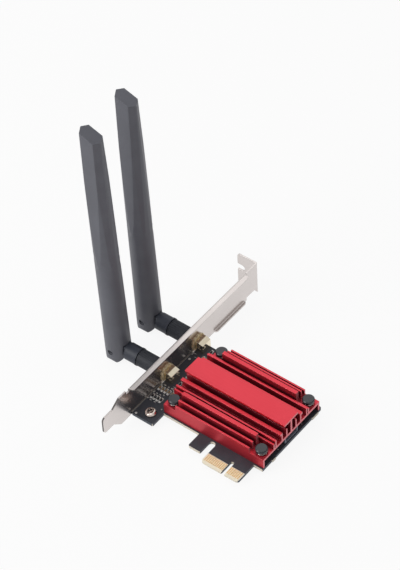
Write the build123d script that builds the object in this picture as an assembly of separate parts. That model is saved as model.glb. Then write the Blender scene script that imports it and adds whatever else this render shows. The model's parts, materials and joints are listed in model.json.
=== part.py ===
from build123d import *
import math
import os

# A one-lane plug-in WiFi card with a finned heat sink, a slot bracket and two hinged antennas.
# X runs from the bracket to the free end, Y away from the contact edge, Z out of the component face.
# The origin is the middle of the key notch, at the contact edge, on the component face. Millimetres.

# How near an edge must lie to a point to be the one meant
tolerance = 0.01

# Circuit board
board_thick = 1.6
board_right = 13.7
board_far = 58.9
board_edge = 12.5
board_gap = 0.1
tab_right = -44.3
tab_bottom = 4.1
foot_left = -23.1
foot_right = -16.2
foot_bottom = 4.0
hook_top = 12.4
board_corner = 0.8
key_width = 1.9
key_top = 8.2
finger_corner = 1.6
bevel_length = 1.3
bevel_depth = 0.45
stub_places = [(21.1, 3.2), (53.6, 5.4)]
stub_reach = 0.4

# Edge contacts
contact_pitch = 1.0
contact_width = 0.65
contact_top = 5.4
contact_thick = 0.1
contacts_left = 11
contacts_right = 7
key_contact = 1.5
contact_margin = 1.1

# Slot bracket, one folded sheet
sheet = 0.86
plate_face = -57.15
plate_low = -1.55
plate_high = 16.87
plate_start = -3.3
plate_end = 104.4
tongue_start = -15.6
tongue_taper = -8.4
tongue_middle = 8.2
tongue_width = 10.19
tongue_corner = 2.0
neck_start = 94.5
neck_low = 0.2
lip_reach = 3.3
lip_start = 4.2
lip_end = 94.2
lip_slit = 1.0
lip_corner = 1.6
lip_relief = 2.4
relief_depth = 1.9
low_lip_reach = 2.2
low_lip_start = 68.5
low_lip_end = 93.0
bend_outer = 1.2
bend_inner = 0.4
tab_reach = 12.0
tab_low = -3.5
tab_high = 16.6
tab_corner = 1.5
notch_width = 3.8
notch_depth = 4.4
notch_middle = 8.1
ear_reach = 11.4
ear_start = 5.2
ear_width = 7.6
ear_boss_radius = 2.3
ear_boss_height = 0.9

# Bracket screw
screw_inset = 7.85
screw_shank = 1.45
screw_head_radius = 2.85
screw_head_height = 1.9
screw_round = 1.25
screw_length = 3.7
recess_width = 0.9
recess_length = 3.0
recess_depth = 1.1
recess_turn = 20.0
screw_hole = 1.65

# Heat sink extrusion; fin places are measured from its middle plane
sink_left = -44.6
sink_right = 13.6
sink_middle = 35.3
sink_half = 22.0
skirt = 1.0
base_under = 4.5
base_top = 5.8
deck_half = 5.2
deck_under = 13.1
deck_top = 14.2
leg_thick = 1.2
under_fin_place = 3.6
under_fin_top = 10.6
hook_fin_place = 7.25
hook_fin_reach = 8.7
hook_fin_top = 10.8
hook_fin_lip = 1.0
thin_fin_place = 12.0
thin_fin_top = 10.3
low_fin_place = 13.45
low_fin_top = 8.9
wide_fin_inner = 14.6
wide_fin_outer = 16.6
wide_fin_top = 12.5
outer_fin_place = 18.85
outer_fin_top = 10.45
edge_fin_top = 8.75
thin_fin = 0.85
left_pocket = 6.9
right_pocket = 8.1
pocket_width = 8.0

# Push pins and springs
pin_end_inset = 3.6
pin_side_inset = 3.7
pin_shaft = 1.4
pin_clearance = 0.15
pin_head_radius = 3.0
pin_head_top = 9.0
pin_head_thick = 1.7
pin_bevel = 0.45
barb_radius = 1.75
barb_gap = 0.15
barb_tip = -4.0
barb_tip_radius = 0.8
barb_slit = 0.7
barb_play = 0.3
spring_radius = 2.3
spring_wire = 0.24
spring_turns = 2.0
spring_play = 0.05

# WiFi module under the heat sink
module_left = -28.0
module_length = 30.0
module_width = 22.0
module_thick = 0.8
module_height = 1.9
half_moon = 1.75
half_moon_play = 0.1
shield_left = -20.0
shield_length = 18.5
shield_width = 19.0
shield_top = 4.1
shield_wall = 0.2
shield_corner = 0.8
pad_inset = 2.0
socket_depth = 7.0
socket_grip = 2.5
socket_height = 3.4
socket_margin = 0.6
socket_play = 0.06
standoff_radius = 2.25
module_screw_head = 2.7
module_screw_height = 0.8
module_screw_shank = 0.9
module_screw_slot = 0.5

# Coax leads between module and board
lead_offset = 5.8
lead_radius = 0.55
module_jack_x = -25.6
board_jack_x = -39.0
lead_rise = 0.75
lead_bend_share = 0.45
jack_radius = 0.9
jack_height = 0.8
plug_radius = 1.35
plug_lift = 0.1
plug_height = 1.4
plug_reach = 2.2
plug_play = 0.05

# Side-entry header at the free end
header_face = 13.0
header_depth = 6.0
header_middle = 36.0
header_width = 9.9
header_height = 4.2
header_wall = 0.7
header_key = 4.0
header_floor = 2.0
header_pins = 4
header_pitch = 2.0
header_pin = 0.5
header_pin_reach = 3.2
header_tail = 2.8

# Antenna jacks: a right-angle block on the board with a threaded neck through the bracket
near_jack = 31.8
far_jack = 55.8
jack_axis = 3.1
block_rear = -51.9
block_half = 3.05
block_top = 6.3
block_slope_start = -54.4
block_slope_drop = 0.8
neck_radius = 3.125
neck_length = 8.6
neck_bore = 2.1
neck_recess = 2.0
leg_side = 1.0
leg_reach = 3.0
leg_inset = 1.1
leg_hole = 0.85
contact_radius = 0.635
contact_reach = 0.4
contact_tail_x = -54.2
contact_tail_hole = 1.3
panel_hole = 3.3
fit_play = 0.05
washer_gap = 0.6
washer_play = 0.2
washer_thick = 0.45
washer_outer = 4.7
washer_inner = 3.3
washer_teeth = 12
tooth_width = 1.0
tooth_depth = 0.8
panel_nut_flats = 8.0
panel_nut_thick = 2.0

# Antenna plug, coupling nut and knuckle; lengths run outwards from the bracket's outer face
nut_start = 2.6
flange_radius = 3.05
flange_thick = 1.0
flange_gap = 0.05
ferrule_radius = 2.5
ferrule_bore = 2.05
core_radius = 2.0
core_nose = 1.7
core_end = 15.5
socket_radius = 0.95
socket_bore = 0.72
nut_bore = 3.2
nut_outer = 3.8
nut_shoulder = 0.9
grip_radius = 4.15
grip_end = 15.0
rib_count = 24
rib_height = 0.25
rib_width = 0.6
knuckle_gap = 0.3
knuckle_radius = 4.5
collar_radius = 4.7
collar_length = 1.0
snap_lip = 1.9
snap_radius = 2.85
snap_length = 0.95
snap_play = 0.15
chamber_length = 2.4
tongue_thick = 5.2

# Antenna blade; heights run up from the hinge pin
hinge_reach = 29.2
lobe_radius = 6.6
lobe_round = 2.6
tube_radius = 6.4
lobe_gap = 0.25
slot_play = 0.2
blade_length = 137.75
tip_half_flat = 3.75
tip_half_width = 5.6
tip_half_thick = 3.3
tip_round = 5.5
flats_foot = 58.0
tip_slope = 21.0
hinge_radius = 1.2
hinge_play = 0.05
hinge_seat_play = 0.02
hinge_sink = 0.8
hinge_mouth = 1.6
strip_width = 4.6
strip_thick = 1.0
strip_start = 13.0
strip_end = 113.0
strip_play = 0.2
near_lean = 1.2
near_swing = 0.65
far_lean = 2.25
far_swing = -1.0

# Chip parts near the first jack
chip_length = 1.6
chip_width = 0.8
chip_height = 0.6
chip_cap = 0.35
chip_step = 0.04
capacitor_spots = [(-55.6, 24.0), (-53.8, 24.0), (-52.0, 24.0), (-50.2, 24.0), (-48.2, 24.0), (-50.4, 50.4),
                   (-48.6, 51.0)]
resistor_spots = [(-55.4, 18.0), (-53.7, 18.0), (-52.0, 18.0), (-50.3, 18.0), (-49.4, 55.8), (-49.2, 31.2),
                  (-49.2, 37.6)]

# Worked out from the sizes above
plate_outer = plate_face - sheet
board_left = plate_face + board_gap
board_under = -board_thick
finger_left = -(key_contact + (contacts_left - 1) * contact_pitch + contact_margin)
finger_right = key_contact + (contacts_right - 1) * contact_pitch + contact_margin
ear_middle = ear_start + ear_width / 2
screw_x = plate_face + screw_inset
pin_places = [(x, sink_middle + side * (sink_half - pin_side_inset))
              for x in (sink_left + pin_end_inset, sink_right - pin_end_inset) for side in (-1, 1)]
module_right = module_left + module_length
module_top = module_height + module_thick
block_front = plate_face + washer_gap
jack_places = {"near": near_jack, "far": far_jack}
leg_places = [(x, side * (block_half - leg_inset)) for x in (block_front + leg_inset, block_rear - leg_inset)
              for side in (-1, 1)]
header_places = [header_middle + (i - (header_pins - 1) / 2) * header_pitch for i in range(header_pins)]
header_rear = header_face - header_depth
flange_start = neck_length + flange_gap
flange_end = flange_start + flange_thick
shoulder_start = flange_end + 2 * flange_gap
insert_end = shoulder_start + nut_shoulder
knuckle_start = grip_end + knuckle_gap
snap_start = knuckle_start + snap_lip + snap_play
ferrule_end = snap_start + snap_length
knuckle_end = hinge_reach - lobe_radius - lobe_gap
slot_radius = knuckle_radius + slot_play
slot_half = tongue_thick / 2 + slot_play
hinge_x = plate_outer - hinge_reach


def block(x0, x1, y0, y1, z0, z1):
    """A box between two corners."""
    size = Box(x1 - x0, y1 - y0, z1 - z0)
    return Pos((x0 + x1) / 2, (y0 + y1) / 2, (z0 + z1) / 2) * size


def post(radius, z0, z1, x=0, y=0):
    """An upright round post."""
    return Pos(x, y, (z0 + z1) / 2) * Cylinder(radius, z1 - z0)


def rod_x(radius, x0, x1, y=0, z=0):
    """A round rod along X."""
    return Pos((x0 + x1) / 2, y, z) * Rot(0, 90, 0) * Cylinder(radius, abs(x1 - x0))


def rod_y(radius, y0, y1, x=0, z=0):
    """A round rod along Y."""
    return Pos(x, (y0 + y1) / 2, z) * Rot(90, 0, 0) * Cylinder(radius, y1 - y0)


def edges_through(part, axis, points):
    """The straight edges along an axis that run through the given points."""
    return [edge for edge in part.edges().filter_by(axis)
            if any((edge.center() - Vector(*point)).cross(axis.direction).length < tolerance for point in points)]


def prism_along_x(points, x0, x1):
    """A (y, z) outline drawn out along X."""
    outline = make_face(Polyline(*points, close=True))
    return extrude(Plane.YZ.offset(x0) * outline, amount=x1 - x0)


def prism_along_y(points, y0, y1):
    """An (x, z) outline drawn out along Y."""
    outline = make_face(Polyline(*[(x, 0, z) for x, z in points], close=True))
    return extrude(Pos(0, y0, 0) * outline, amount=y1 - y0, dir=(0, 1, 0))


# Circuit board

def slot_from_edge(middle, width, top, bottom):
    """A notch open at the contact edge, with a full round end."""
    radius = width / 2
    straight = block(middle - radius, middle + radius, bottom, top - radius, -2 * board_thick, board_thick)
    return straight + post(radius, -2 * board_thick, board_thick, middle, top - radius)


def make_stub(middle, half):
    """A broken-off panel tab left on the free end."""
    tip = half - stub_reach
    end = board_right + stub_reach
    corners = [(board_right, middle - half), (end, middle - tip), (end, middle + tip),
               (board_right, middle + half)]
    return extrude(make_face(Polyline(*corners, close=True)), amount=board_thick, dir=(0, 0, -1))


def make_board():
    corners = [(board_left, tab_bottom), (tab_right, tab_bottom), (tab_right, board_edge), (foot_left, board_edge),
               (foot_left, foot_bottom), (finger_left, foot_bottom), (finger_left, 0), (finger_right, 0),
               (finger_right, board_edge), (board_right, board_edge), (board_right, board_far),
               (board_left, board_far)]
    board = extrude(make_face(Polyline(*corners, close=True)), amount=board_thick, dir=(0, 0, -1))
    hook_middle = (foot_right + finger_left) / 2
    board -= slot_from_edge(hook_middle, finger_left - foot_right, hook_top, -board_edge)
    board -= slot_from_edge(0, key_width, key_top, -board_edge)
    small = [(board_left, tab_bottom), (tab_right, tab_bottom), (foot_left, foot_bottom),
             (foot_right, foot_bottom), (board_right, board_far)]
    board = fillet(edges_through(board, Axis.Z, small), board_corner)
    tips = [(finger_left, 0), (finger_right, 0)]
    board = fillet(edges_through(board, Axis.Z, tips), finger_corner)
    upper = prism_along_x([(0, 0), (bevel_length, 0), (0, -bevel_depth)], finger_left, finger_right)
    lower = prism_along_x([(0, board_under), (bevel_length, board_under), (0, board_under + bevel_depth)],
                          finger_left, finger_right)
    board -= upper + lower
    for middle, width in stub_places:
        board += make_stub(middle, width / 2)
    for x, y in pin_places:
        board -= post(pin_shaft + pin_clearance, board_under, 0, x, y)
    board -= post(screw_hole, board_under, 0, screw_x, ear_middle)
    washer_reach = washer_outer + washer_play
    for middle in jack_places.values():
        board -= block(board_left, block_front, middle - washer_reach, middle + washer_reach, board_under, 0)
        for x, y in leg_places + [(contact_tail_x, 0)]:
            board -= post(leg_hole, board_under, 0, x, middle + y)
    for y in header_places:
        board -= post(header_pin, board_under, 0, header_rear + header_floor / 2, y)
    return board


def make_edge_contacts():
    places = [-key_contact - i * contact_pitch for i in range(contacts_left)]
    places += [key_contact + i * contact_pitch for i in range(contacts_right)]
    half = contact_width / 2
    pads = []
    for x in places:
        pads.append(block(x - half, x + half, bevel_length, contact_top, 0, contact_thick))
        pads.append(block(x - half, x + half, bevel_length, contact_top, board_under - contact_thick, board_under))
    return pads


# Slot bracket

def make_lip(reach, edge, inward, start, end):
    """A lip folded inwards at a long edge of the plate, with the strip of plate that it is folded from."""
    leg = edge - inward * relief_depth
    under = edge - inward * sheet
    right = plate_outer + reach
    section = [(plate_outer, leg), (plate_outer, edge), (right, edge), (right, under), (plate_face, under),
               (plate_face, leg)]
    lip = prism_along_y(section, start, end)
    lip = fillet(edges_through(lip, Axis.Y, [(plate_outer, 0, edge)]), bend_outer)
    lip = fillet(edges_through(lip, Axis.Y, [(plate_face, 0, under)]), bend_inner)
    return fillet(edges_through(lip, Axis.Z, [(right, start), (right, end)]), lip_corner)


def make_tab():
    """The screw tab, folded outwards at the far end, with its open notch."""
    tab_edge = plate_face - tab_reach
    tab = block(tab_edge, plate_face, plate_end - sheet, plate_end, tab_low, tab_high)
    tab = fillet(edges_through(tab, Axis.Y, [(tab_edge, 0, tab_low), (tab_edge, 0, tab_high)]), tab_corner)
    radius = notch_width / 2
    bottom = tab_edge + notch_depth - radius
    depth = (plate_end - 2 * sheet, plate_end + sheet)
    tab -= block(tab_edge - radius, bottom, *depth, notch_middle - radius, notch_middle + radius)
    tab -= rod_y(radius, *depth, bottom, notch_middle)
    return tab


def make_ear():
    """The ear folded under the board, with a drawn collar for the screw thread."""
    ear_low = board_under - sheet
    ear_right = plate_outer + ear_reach
    ear_end = ear_start + ear_width
    section = [(plate_outer, plate_low + relief_depth), (plate_outer, ear_low), (ear_right, ear_low),
               (ear_right, board_under), (plate_face, board_under), (plate_face, plate_low + relief_depth)]
    ear = prism_along_y(section, ear_start, ear_end)
    ear = fillet(edges_through(ear, Axis.Y, [(plate_outer, 0, ear_low)]), bend_outer)
    ear = fillet(edges_through(ear, Axis.Z, [(ear_right, ear_start), (ear_right, ear_end)]), lip_corner)
    ear += post(ear_boss_radius, ear_low - ear_boss_height, ear_low, screw_x, ear_middle)
    return ear - post(screw_shank + fit_play, ear_low - ear_boss_height, board_under, screw_x, ear_middle)


def make_bracket():
    low = tongue_middle - tongue_width / 2
    high = tongue_middle + tongue_width / 2
    outline = [(tongue_start, low), (tongue_taper, low), (plate_start, plate_low), (neck_start, plate_low),
               (neck_start, neck_low), (plate_end, neck_low), (plate_end, plate_high), (plate_start, plate_high),
               (tongue_taper, high), (tongue_start, high)]
    plate = prism_along_x(outline, plate_outer, plate_face)
    plate = fillet(edges_through(plate, Axis.X, [(0, tongue_start, low), (0, tongue_start, high)]), tongue_corner)
    relief_high = plate_high - relief_depth
    plate -= block(plate_outer, plate_face, lip_start - lip_relief, lip_end + lip_slit, relief_high,
                   plate_high + sheet)
    plate -= block(plate_outer, plate_face, low_lip_start, low_lip_end, plate_low, plate_low + relief_depth)
    plate -= block(plate_outer, plate_face, ear_start, ear_start + ear_width, plate_low, plate_low + relief_depth)
    for middle in jack_places.values():
        plate -= rod_x(panel_hole, plate_outer, plate_face, middle, jack_axis)
    bracket = plate + make_tab()
    bracket = fillet(edges_through(bracket, Axis.Z, [(plate_face, plate_end)]), bend_outer)
    bracket += make_lip(lip_reach, plate_high, 1, lip_start, lip_end)
    bracket += make_lip(low_lip_reach, plate_low, -1, low_lip_start, low_lip_end)
    bracket += make_ear()
    return bracket


def make_bracket_screw():
    """A pan-head screw with a crossed recess."""
    head = post(screw_head_radius, 0, screw_head_height)
    screw = fillet(head.edges().group_by(Axis.Z)[-1], screw_round)
    screw += post(screw_shank, -screw_length, 0)
    low = screw_head_height - recess_depth
    arm = recess_length / 2
    width = recess_width / 2
    cross = block(-arm, arm, -width, width, low, screw_head_height)
    cross += block(-width, width, -arm, arm, low, screw_head_height)
    return Pos(screw_x, ear_middle, 0) * Rot(0, 0, recess_turn) * (screw - cross)


# Heat sink

def paired(offset0, offset1, z0, z1):
    """Two upright strips of the section, one each side of the middle plane."""
    width = offset1 - offset0
    height = z1 - z0
    strip = Pos((offset0 + offset1) / 2, (z0 + z1) / 2) * Rectangle(width, height)
    return strip + mirror(strip, Plane.YZ)


def make_heat_sink():
    thin = thin_fin / 2
    section = Pos(0, (base_under + base_top) / 2) * Rectangle(2 * sink_half, base_top - base_under)
    section += paired(sink_half - skirt, sink_half, 0, base_top)
    section += paired(0, leg_thick / 2, base_top, deck_under)
    section += paired(0, deck_half, deck_under, deck_top)
    section += paired(under_fin_place - thin, under_fin_place + thin, base_top, under_fin_top)
    section += paired(hook_fin_place - thin, hook_fin_place + thin, base_top, hook_fin_top)
    section += paired(hook_fin_place, hook_fin_reach, hook_fin_top - hook_fin_lip, hook_fin_top)
    section += paired(thin_fin_place - thin, thin_fin_place + thin, base_top, thin_fin_top)
    section += paired(low_fin_place - thin, low_fin_place + thin, base_top, low_fin_top)
    section += paired(wide_fin_inner, wide_fin_outer, base_top, wide_fin_top)
    section += paired(outer_fin_place - thin, outer_fin_place + thin, base_top, outer_fin_top)
    section += paired(sink_half - thin_fin, sink_half, base_top, edge_fin_top)
    length = sink_right - sink_left
    sink = extrude(Plane.YZ.offset(sink_left) * (Pos(sink_middle, 0) * section), amount=length)
    for x0, x1 in ((sink_left, sink_left + left_pocket), (sink_right - right_pocket, sink_right)):
        for side in (-1, 1):
            reach = sorted((sink_middle + side * (sink_half - pocket_width), sink_middle + side * sink_half))
            sink -= block(x0, x1, *reach, base_top, deck_top)
    for x, y in pin_places:
        sink -= post(pin_shaft + pin_clearance, base_under, base_top, x, y)
    return sink


def make_push_pins():
    """Round-headed pins with split, barbed tips that snap through the board."""
    head_under = pin_head_top - pin_head_thick
    barb_top = board_under - barb_gap
    points = [(0, pin_head_top), (pin_head_radius - pin_bevel, pin_head_top),
              (pin_head_radius, pin_head_top - pin_bevel), (pin_head_radius, head_under), (pin_shaft, head_under),
              (pin_shaft, barb_top), (barb_radius, barb_top - barb_gap), (barb_tip_radius, barb_tip),
              (0, barb_tip)]
    pin = revolve(Plane.XZ * make_face(Polyline(*points, close=True)), Axis.Z)
    slit = block(-barb_radius, barb_radius, -barb_slit / 2, barb_slit / 2, barb_tip, barb_play)
    return [Pos(x, y, 0) * (pin - slit) for x, y in pin_places]


def make_pin_springs():
    """Coil springs between the heat sink and the pin heads."""
    low = base_top + spring_wire + spring_play
    high = pin_head_top - pin_head_thick - spring_wire - spring_play
    helix = Helix((high - low) / spring_turns, high - low, spring_radius)
    wire = Plane(helix @ 0, z_dir=helix % 0) * RegularPolygon(spring_wire, 4)
    spring = sweep(wire, path=helix, is_frenet=True)
    return [Pos(x, y, low) * spring for x, y in pin_places]


# WiFi module

def make_module():
    half = module_width / 2
    board = block(module_left, module_right, sink_middle - half, sink_middle + half, module_height, module_top)
    return board - post(half_moon, module_height, module_top, module_left, sink_middle)


def make_shield():
    """A thin drawn can, open underneath."""
    half = shield_width / 2
    right = shield_left + shield_length
    can = block(shield_left, right, sink_middle - half, sink_middle + half, module_top, shield_top)
    can = fillet(can.edges().filter_by(Axis.Z), shield_corner)
    half -= shield_wall
    hollow = block(shield_left + shield_wall, right - shield_wall, sink_middle - half, sink_middle + half,
                   module_top, shield_top - shield_wall)
    return can - fillet(hollow.edges().filter_by(Axis.Z), shield_corner - shield_wall)


def make_thermal_pad():
    half = shield_width / 2 - pad_inset
    right = shield_left + shield_length
    return block(shield_left + pad_inset, right - pad_inset, sink_middle - half, sink_middle + half,
                 shield_top, base_under)


def make_module_socket():
    half = module_width / 2
    left = module_right - socket_grip
    body = block(left, left + socket_depth, sink_middle - half - socket_margin, sink_middle + half + socket_margin,
                 0, socket_height)
    slot = block(left, module_right + socket_play, sink_middle - half - socket_play,
                 sink_middle + half + socket_play, module_height - socket_play, module_top + socket_play)
    return body - slot


def make_module_standoff():
    body = post(standoff_radius, 0, module_height, module_left, sink_middle)
    body += post(half_moon - half_moon_play, module_height, module_top, module_left, sink_middle)
    return body - post(module_screw_shank + fit_play, 0, module_top, module_left, sink_middle)


def make_module_screw():
    head = post(module_screw_head, module_top, module_top + module_screw_height, module_left, sink_middle)
    head += post(module_screw_shank, fit_play, module_top, module_left, sink_middle)
    half = module_screw_slot / 2
    top = module_top + module_screw_height
    return head - block(module_left - module_screw_head, module_left + module_screw_head, sink_middle - half,
                        sink_middle + half, top - half, top)


# Coax leads

def lead_jack(x, y, z):
    return post(jack_radius, z, z + jack_height, x, y)


def lead_plug(x, y, z, side):
    """A round snap plug over its jack, with a short crimp tube towards its lead."""
    plug = post(plug_radius, z + plug_lift, z + plug_height, x, y)
    plug += rod_x(lead_radius, x, x + side * plug_reach, y, z + lead_rise)
    return plug - post(jack_radius + plug_play, z + plug_lift, z + jack_height + plug_play, x, y)


def lead_ends():
    """(x, height of seat, side of the lead) for the module end and the board end."""
    return [(module_jack_x, module_top, -1), (board_jack_x, 0, 1)]


def make_lead(y):
    """The lead drops from the module to the board in one gentle S."""
    start = module_jack_x - plug_reach
    end = board_jack_x + plug_reach
    third = (end - start) / 3
    high = module_top + lead_rise
    route = [(start, y, high), (start + third, y, high), (end - third, y, lead_rise), (end, y, lead_rise)]
    turn = math.atan2(high - lead_rise, abs(third))
    radius = lead_bend_share * abs(third) / math.tan(turn / 2)
    path = FilletPolyline(*route, radius=radius)
    return sweep(Plane(path @ 0, z_dir=path % 0) * Circle(lead_radius), path=path)


# Side-entry header

def make_header():
    half = header_width / 2
    body = block(header_rear, header_face, header_middle - half, header_middle + half, 0, header_height)
    inner = half - header_wall
    body -= block(header_rear + header_floor, header_face, header_middle - inner, header_middle + inner,
                  header_wall, header_height - header_wall)
    key = header_key / 2
    body -= block(header_rear + header_floor, header_face, header_middle - key, header_middle + key,
                  header_height - header_wall, header_height)
    side = header_pin / 2
    for y in header_places:
        body -= block(header_rear, header_rear + header_floor, y - side, y + side, 0, header_height / 2 + side)
    return body


def make_header_pins():
    """Bent pins: a blade along X in the header, and a tail down through the board."""
    side = header_pin / 2
    middle = header_rear + header_floor / 2
    height = header_height / 2
    pins = []
    for y in header_places:
        blade = block(middle - side, header_rear + header_floor + header_pin_reach, y - side, y + side,
                      height - side, height + side)
        pins.append(blade + block(middle - side, middle + side, y - side, y + side, -header_tail, height))
    return pins


# Antenna jacks

def make_jack(y):
    section = [(block_front, 0), (block_front, block_top), (block_slope_start, block_top),
               (block_rear, block_top - block_slope_drop), (block_rear, 0)]
    jack = prism_along_y(section, -block_half, block_half)
    neck_end = plate_outer - neck_length
    jack += rod_x(neck_radius, neck_end, block_front, 0, jack_axis)
    jack -= rod_x(neck_bore, neck_end, contact_tail_x + contact_tail_hole, 0, jack_axis)
    jack -= post(contact_tail_hole, 0, jack_axis, contact_tail_x, 0)
    half = leg_side / 2
    for x, offset in leg_places:
        jack += block(x - half, x + half, offset - half, offset + half, -leg_reach, 0)
    return Pos(0, y, 0) * jack


def make_jack_insulator(y):
    start = plate_outer - neck_length + neck_recess
    body = rod_x(neck_bore - fit_play, start, contact_tail_x - contact_tail_hole, y, jack_axis)
    return body - rod_x(contact_radius + fit_play / 2, start, contact_tail_x, y, jack_axis)


def make_jack_contact(y):
    tip = plate_outer - neck_length + contact_reach
    pin = rod_x(contact_radius, tip, contact_tail_x, y, jack_axis)
    pin += Pos(contact_tail_x, y, jack_axis) * Sphere(contact_radius)
    return pin + post(contact_radius, -leg_reach, jack_axis, contact_tail_x, y)


def make_lock_washer(y):
    """A ring with outer teeth, held between the bracket and the jack's block."""
    x0 = plate_face + (washer_gap - washer_thick) / 2
    ring = rod_x(washer_outer, x0, x0 + washer_thick, 0, 0) - rod_x(washer_inner, x0, x0 + washer_thick, 0, 0)
    for i in range(washer_teeth):
        gap = block(x0, x0 + washer_thick, -tooth_width / 2, tooth_width / 2, washer_outer - tooth_depth,
                    washer_outer + tooth_depth)
        ring -= Rot(360 * (i + 0.5) / washer_teeth, 0, 0) * gap
    return Pos(0, y, jack_axis) * ring


def make_panel_nut(y):
    radius = panel_nut_flats / math.sqrt(3)
    hexagon = Plane.YZ.offset(plate_outer - panel_nut_thick) * RegularPolygon(radius, 6)
    nut = extrude(hexagon, amount=panel_nut_thick)
    nut -= rod_x(neck_radius + fit_play, plate_outer - panel_nut_thick, plate_outer)
    return Pos(0, y, jack_axis) * nut


# Antennas, made along X outwards from the bracket with the jack's axis as their own

def outward(radius, start, end):
    """A round length on the jack's axis, measured outwards from the bracket."""
    return rod_x(radius, plate_outer - end, plate_outer - start)


def make_ferrule():
    """The plug's turned body: a flange behind the nut, and a tube with a snap ring for the knuckle."""
    body = outward(flange_radius, flange_start, flange_end) + outward(ferrule_radius, flange_end, ferrule_end)
    body += outward(snap_radius, snap_start, ferrule_end)
    return body - outward(ferrule_bore, flange_start, ferrule_end)


def make_plug_core():
    nose = neck_length - core_nose
    core = outward(core_radius, nose, core_end)
    return core - outward(socket_radius + fit_play / 2, nose, core_end)


def make_plug_socket():
    nose = neck_length - core_nose
    return outward(socket_radius, nose, core_end) - outward(socket_bore, nose, core_end - core_nose)


def make_nut_insert():
    """The brass nut: a threaded bore over the jack's neck, and a shoulder behind the plug's flange."""
    nut = outward(nut_outer, nut_start, insert_end)
    nut -= outward(nut_bore, nut_start, shoulder_start)
    return nut - outward(ferrule_radius + 2 * fit_play, shoulder_start, insert_end)


def make_nut_grip():
    """The ribbed plastic sleeve moulded round the nut."""
    grip = outward(grip_radius, nut_start, grip_end)
    length = grip_end - nut_start
    middle = plate_outer - nut_start - length / 2
    rib = Pos(middle, 0, grip_radius) * Box(length, rib_width, 2 * rib_height)
    for i in range(rib_count):
        grip += Rot(360 * i / rib_count, 0, 0) * rib
    grip -= outward(nut_outer + fit_play, nut_start, insert_end)
    return grip - outward(ferrule_radius + 2 * fit_play, insert_end, grip_end)


def make_knuckle():
    """A round body that snaps over the ferrule, with a flat tongue for the hinge."""
    body = outward(knuckle_radius, knuckle_start, knuckle_end)
    body += outward(collar_radius, knuckle_start, knuckle_start + collar_length)
    tongue = block(hinge_x, plate_outer - knuckle_end, -tongue_thick / 2, tongue_thick / 2,
                   -knuckle_radius, knuckle_radius)
    tongue += rod_y(knuckle_radius, -tongue_thick / 2, tongue_thick / 2, hinge_x, 0)
    bar = outward(knuckle_radius, knuckle_end, hinge_reach + knuckle_radius)
    body += tongue & bar
    body -= outward(ferrule_radius + fit_play, knuckle_start, knuckle_start + snap_lip)
    chamber_start = knuckle_start + snap_lip
    body -= outward(snap_radius + snap_play, chamber_start, chamber_start + chamber_length)
    return body - rod_y(hinge_radius + hinge_play, -tongue_thick, tongue_thick, hinge_x, 0)


def make_blade():
    """A moulded blade: a round forked foot, and six flats that grow towards a slanted tip."""
    tall = blade_length + tip_half_width
    blade = Pos(0, 0, tall / 2) * Cone(tube_radius, tip_round, tall)
    side_turn = math.degrees(math.atan2(tip_half_width - tip_half_flat, tip_half_thick))
    side_reach = tip_half_width * math.cos(math.radians(side_turn))
    flats = [(90, tip_half_thick), (-90, tip_half_thick)]
    flats += [(turn, side_reach) for turn in (side_turn, -side_turn, 180 - side_turn, 180 + side_turn)]
    wide = 2 * lobe_radius
    foot_radius = tube_radius + (tip_round - tube_radius) * flats_foot / tall
    for turn, reach in flats:
        start = reach + (foot_radius - reach) * tall / (tall - flats_foot)
        wedge = prism_along_y([(start, 0), (reach, tall), (wide, tall), (wide, 0)], -wide, wide)
        blade -= Rot(0, 0, turn) * wedge
    cap = Pos(0, 0, blade_length) * Rot(0, tip_slope, 0) * Pos(0, 0, tall / 2) * Box(tall, tall, tall)
    blade -= cap
    lobe = post(tube_radius, -lobe_radius, 0) & rod_y(lobe_radius, -tube_radius, tube_radius)
    outline = RectangleRounded(2 * tube_radius, 2 * lobe_radius, lobe_round)
    blade += lobe & extrude(Plane.YZ.offset(-wide) * outline, amount=2 * wide)
    blade -= rod_y(slot_radius, -slot_half, slot_half)
    blade -= block(0, wide, -slot_half, slot_half, -wide, slot_radius)
    blade -= block(-slot_radius, 0, -slot_half, slot_half, -wide, 0)
    blade -= rod_y(hinge_radius + hinge_seat_play, -tube_radius, tube_radius)
    for side in (-1, 1):
        mouth = sorted((side * (tube_radius - hinge_sink), side * tube_radius))
        blade -= rod_y(hinge_mouth, *mouth)
    half_width = strip_width / 2 + strip_play
    half_thick = strip_thick / 2 + strip_play
    return blade - block(-half_width, half_width, -half_thick, half_thick, 0, strip_end + strip_play)


def make_hinge_pin():
    end = tube_radius - hinge_sink
    return rod_y(hinge_radius, -end, end)


def make_radiator():
    half_width = strip_width / 2
    half_thick = strip_thick / 2
    return block(-half_width, half_width, -half_thick, half_thick, strip_start, strip_end)


# Chip parts

def make_chips(spots):
    """Small chip parts: a body with two raised metal end caps."""
    half = chip_length / 2
    width = chip_width / 2
    chips = []
    for x, y in spots:
        body = block(x - width + chip_step, x + width - chip_step, y - half, y + half, 0, chip_height - chip_step)
        body += block(x - width, x + width, y - half, y - half + chip_cap, 0, chip_height)
        body += block(x - width, x + width, y + half - chip_cap, y + half, 0, chip_height)
        chips.append(body)
    return chips


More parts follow.
